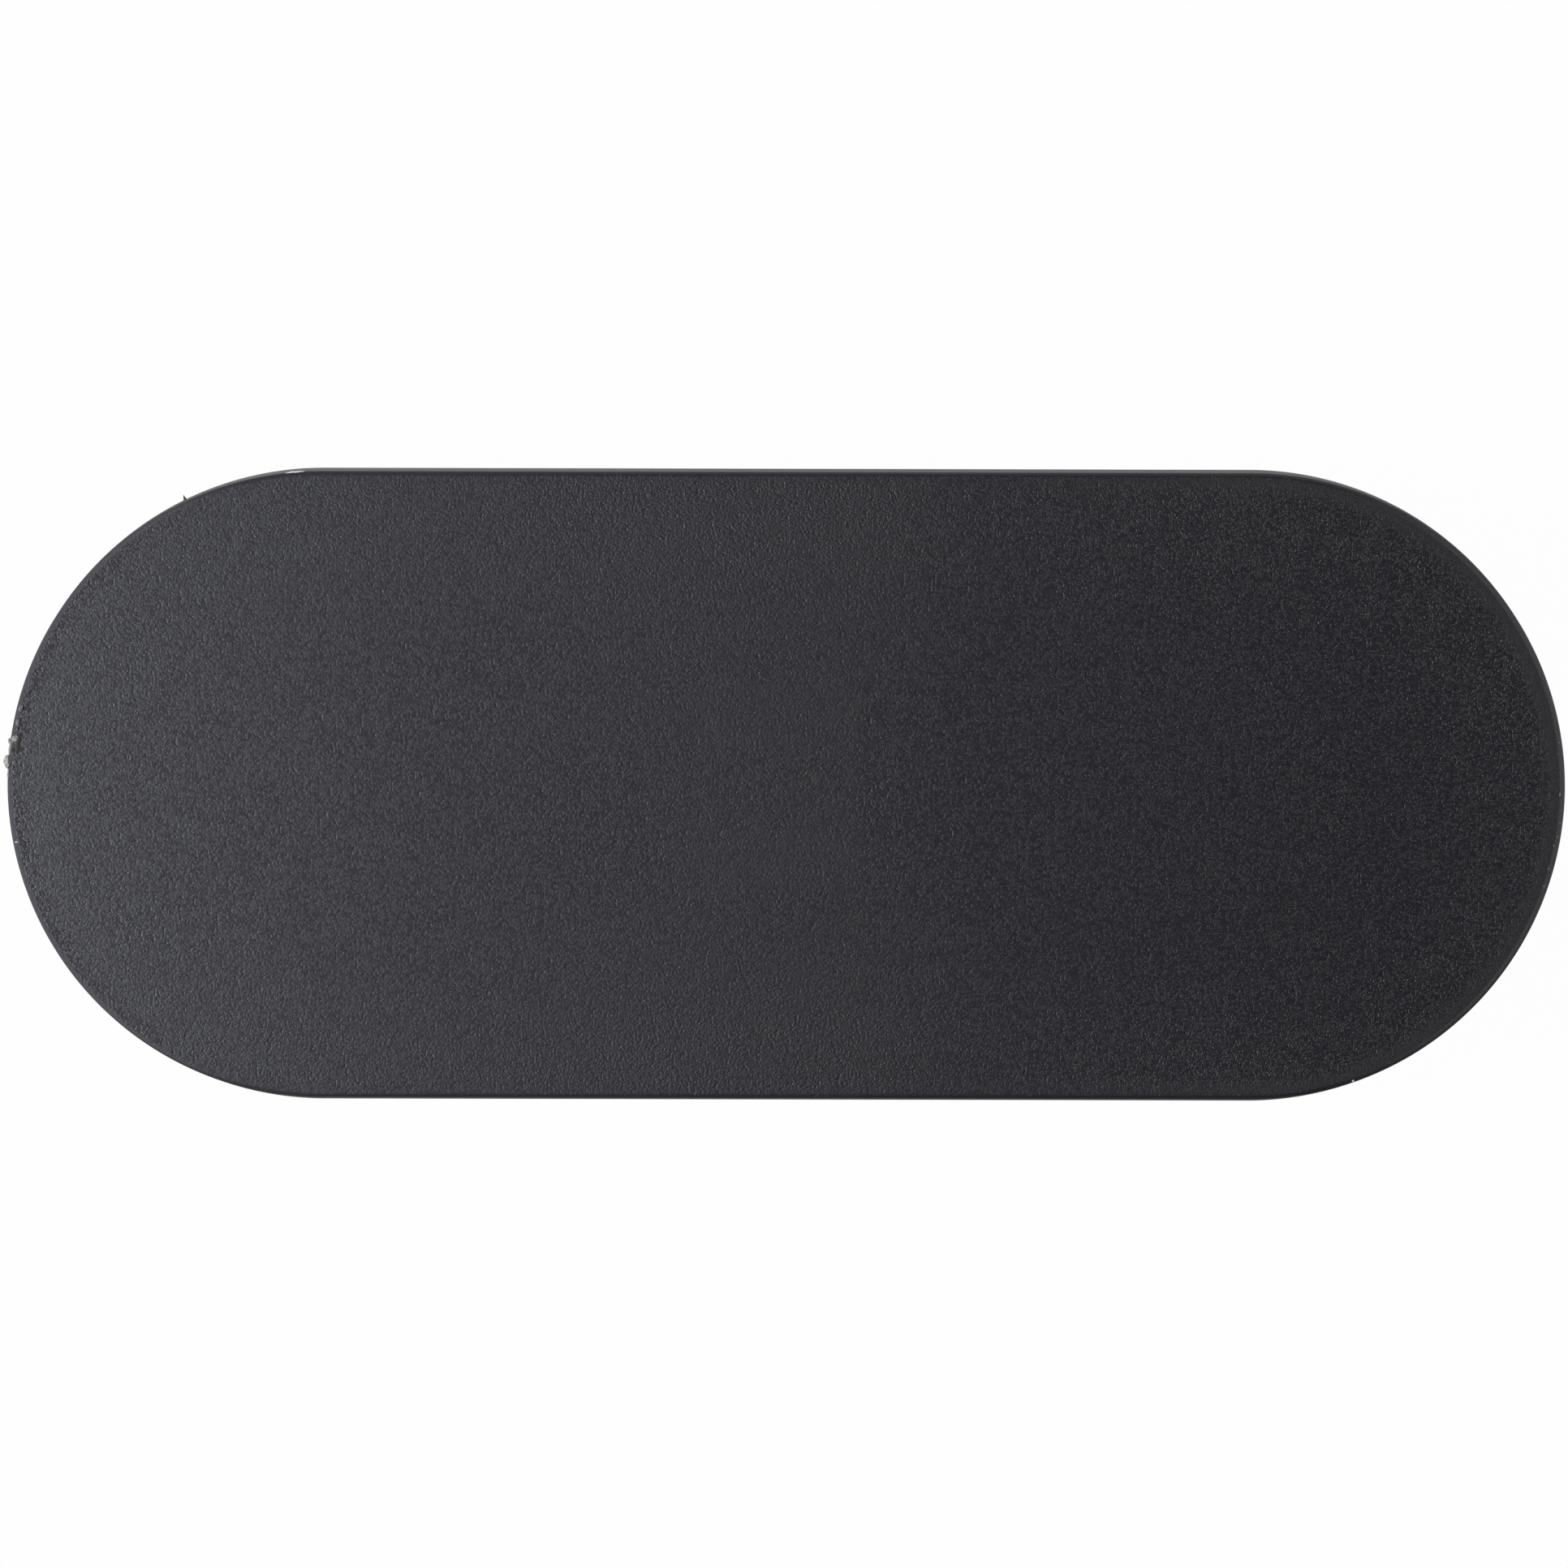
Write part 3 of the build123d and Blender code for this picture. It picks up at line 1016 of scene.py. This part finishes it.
class WEBCAMCOVER_OT_moulding_marks(Operator):
    """Add what moulding left on the cover's edge: the torn gate, a tongue of flash and small burrs, with
    painted shadow and painted glints beside the gate
    """

    bl_idname = "webcam_cover.moulding_marks"
    bl_label = "Moulding Marks"

    def execute(self, context):
        finish = context.scene.cover_finish
        half_run, _ = pill_size(COVER_LOW, COVER_HIGH)
        # Torn plastic and burrs, with dark lumps of painted shadow and pale lumps of painted glints
        torn = [
            ("gate_scar", GATE_MARKS, "torn_plastic", finish.torn_colour, finish.torn_dark),
            ("rim_lumps", RIM_MARKS, "dull_torn_plastic", finish.rim_torn, finish.shadow_and_mottle_colour),
            # Painted shadow beside the torn gate
            ("gate_pit", PAINTED_SHADOW_MARKS, "pitted_plastic", finish.shadow_and_mottle_colour, finish.painted_shadow_dark, PAINTED_SHADOW_SHINE),
            ("edge_burrs", BURR_MARKS, "scuffed_plastic", finish.scuff_colour, finish.scuff_dark),
            # Painted glints beside the gate, and the pale specks round the far end
            ("edge_specks", SPECK_MARKS, "worn_plastic", finish.glint_and_speck_colour, finish.rim_torn),
        ]
        pieces = []
        for name, marks, plastic, *looks in torn:
            material = torn_material(plastic, finish, *looks)
            pieces.append(finish_piece(marks_mesh(marks, half_run), name, material))
        plastic = bpy.data.materials["charcoal_grained_plastic"]
        pieces.append(finish_piece(flash_mesh(FLASH_MARK, half_run), "flash_tongue", plastic))
        for piece in pieces:
            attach(piece, "cover")
        return {"FINISHED"}


class WEBCAMCOVER_OT_base_plate(Operator):
    """Build the slotted base with its lens window"""

    bl_idname = "webcam_cover.base_plate"
    bl_label = "Base Plate"

    def execute(self, context):
        scene = context.scene
        bm = base_mesh(scene.cover_sizes, scene.base_sizes)
        piece = finish_piece(bm, "base_moulding", base_material(scene.cover_finish))
        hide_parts("base_plate")
        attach(piece, "base")
        return {"FINISHED"}


class WEBCAMCOVER_OT_adhesive_pad(Operator):
    """Build the die-cut foam tape on the back of the base"""

    bl_idname = "webcam_cover.adhesive_pad"
    bl_label = "Adhesive Pad"

    def execute(self, context):
        scene = context.scene
        bm = pad_mesh(scene.cover_sizes, scene.base_sizes, scene.pad_sizes)
        piece = finish_piece(bm, "foam_tape", tape_material(scene.cover_finish))
        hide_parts("adhesive_pad")
        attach(piece, "base")
        return {"FINISHED"}


# Stage


def area_lamp(name, place, size, power):
    """A soft round lamp that faces the part."""
    data = bpy.data.lights.new(name, "AREA")
    data.shape = "DISK"
    data.size = size
    data.energy = power
    lamp = new_object(name, data)
    lamp.location = place
    lamp.rotation_euler = (-Vector(place)).to_track_quat("-Z", "Y").to_euler()


def floor_material(stage):
    """White floor that keeps the part's shadow, clear from below and to the face that lies on it."""
    material = bpy.data.materials.new("white_floor")
    graph = empty_graph(material)
    path = graph.node("LightPath").outputs
    across = graph.parts(graph.place())["Y"]
    # Painted reflection: glossy rays see the floor's glow graded across Y, dimmer on the room's side under
    # the part's lower edge
    graded = graph.ramp(across, *FLOOR_GRADE, stage.room_floor, stage.sweep_floor)
    seen = graph.product(path["Is Glossy Ray"], graded)
    for ray in ("Is Camera Ray", "Is Transmission Ray"):
        seen = graph.math("MAXIMUM", seen, path[ray])
    seen = graph.product(seen, FLOOR_GLOW)
    paint = graph.node("BsdfDiffuse", {"Color": tinted(stage.paper_colour)}).outputs[0]
    glow = graph.node("Emission", {"Color": WHITE, "Strength": 1.0}).outputs[0]
    white = graph.node("MixShader", {0: seen, 1: paint, 2: glow}).outputs[0]
    clear = graph.node("BsdfTransparent").outputs[0]
    below = graph.node("NewGeometry").outputs["Backfacing"]
    scattered = graph.math("MAXIMUM", path["Is Diffuse Ray"], path["Is Shadow Ray"])
    close = graph.math("LESS_THAN", path["Ray Length"], CONTACT_REACH)
    see_through = graph.math("MAXIMUM", below, graph.product(scattered, close))
    both = graph.node("MixShader", {0: see_through, 1: white, 2: clear}).outputs[0]
    graph.node("OutputMaterial", {"Surface": both})
    return material


def add_floor(stage):
    """A large round floor under the part."""
    bm = bmesh.new()
    under = Matrix.Translation((0, 0, -FLOOR_GAP))
    bmesh.ops.create_circle(bm, cap_ends=True, segments=FLOOR_STEPS, radius=FLOOR_RADIUS, matrix=under)
    floor = new_object("floor", new_mesh(bm, "floor", floor_material(stage)))


def add_world(stage):
    """Light from all round: white low down where a paper sweep rises, and darker elsewhere."""
    world = bpy.data.worlds.new("paper_sweep")
    graph = empty_graph(world)
    towards = graph.node("TexCoord").outputs["Generated"]
    side = graph.vector("DOT_PRODUCT", {0: towards, 1: stage.sweep_side}, "Value")
    low_down = graph.ramp(side, *SWEEP_TURN, stage.room_level, stage.sweep_level)
    level = graph.ramp(graph.parts(towards)["Z"], *SWEEP_HEIGHT, low_down, stage.sky_level)
    light = graph.node("Background", {"Color": WHITE, "Strength": level}).outputs[0]
    graph.node("OutputWorld", {"Surface": light})
    bpy.context.scene.world = world


def add_camera(stage, level):
    """The camera over the face, aimed at a level, leaning a little and turned about its axis."""
    data = bpy.data.cameras.new("camera")
    data.sensor_width = SENSOR_WIDTH
    data.lens = SENSOR_WIDTH * stage.camera_distance / stage.view_width
    data.clip_start, data.clip_end = CLIP_SPAN
    camera = new_object("camera", data)
    aim = Vector((stage.aim_x, stage.aim_y, level))
    back = Vector((0, math.sin(stage.camera_tilt), math.cos(stage.camera_tilt)))
    camera.location = aim + back * stage.camera_distance
    lean = Matrix.Rotation(-stage.camera_tilt, 4, "X")
    camera.rotation_euler = (lean @ Matrix.Rotation(stage.camera_roll, 4, "Z")).to_euler()
    bpy.context.scene.camera = camera


class WEBCAMCOVER_OT_stage(Operator):
    """Set the white floor, the soft lamps and the camera"""

    bl_idname = "webcam_cover.stage"
    bl_label = "Stage"

    def execute(self, context):
        scene = context.scene
        stage = scene.stage_settings
        add_floor(stage)
        area_lamp("key", stage.key_place, stage.key_size, stage.key_power)
        area_lamp("fill", stage.fill_place, stage.fill_size, stage.fill_power)
        area_lamp("side", stage.side_place, stage.side_size, stage.side_power)
        add_world(stage)
        add_camera(stage, COVER_HIGH.z - scene.cover_sizes.thickness)
        scene.view_settings.view_transform = "Standard"
        return {"FINISHED"}


class WEBCAMCOVER_PT_panel(Panel):
    """Sizes, finishes and the steps that build the part."""

    bl_label = "Webcam Cover"
    bl_idname = "WEBCAMCOVER_PT_panel"
    bl_space_type = "VIEW_3D"
    bl_region_type = "UI"
    bl_category = "Webcam Cover"

    def draw(self, context):
        for name, (settings, *operators) in SETTINGS.items():
            group = getattr(context.scene, name)
            box = self.layout.box()
            for setting in settings.__annotations__:
                box.prop(group, setting)
            for operator in operators:
                box.operator(operator.bl_idname)


# The settings on the scene, each with the operators that use them
SETTINGS = {
    "cover_sizes": (CoverSizes, WEBCAMCOVER_OT_sliding_cover, WEBCAMCOVER_OT_moulding_marks),
    "base_sizes": (BaseSizes, WEBCAMCOVER_OT_base_plate),
    "pad_sizes": (PadSizes, WEBCAMCOVER_OT_adhesive_pad),
    "cover_finish": (Finish,),
    "stage_settings": (StageSettings, WEBCAMCOVER_OT_stage),
}
CLASSES = [*sum(SETTINGS.values(), ()), WEBCAMCOVER_PT_panel]


def register():
    """Registers the classes and puts the settings on the scene."""
    for cls in CLASSES:
        bpy.utils.register_class(cls)
    for name, (settings, *_) in SETTINGS.items():
        setattr(bpy.types.Scene, name, PointerProperty(type=settings))


def unregister():
    """Takes the settings off the scene and unregisters the classes."""
    for name in SETTINGS:
        delattr(bpy.types.Scene, name)
    for cls in reversed(CLASSES):
        bpy.utils.unregister_class(cls)


def main():
    """Builds every piece and the stage."""
    register()
    bpy.ops.webcam_cover.sliding_cover()
    bpy.ops.webcam_cover.moulding_marks()
    bpy.ops.webcam_cover.base_plate()
    bpy.ops.webcam_cover.adhesive_pad()
    bpy.ops.webcam_cover.stage()


if __name__ == "__main__":
    main()
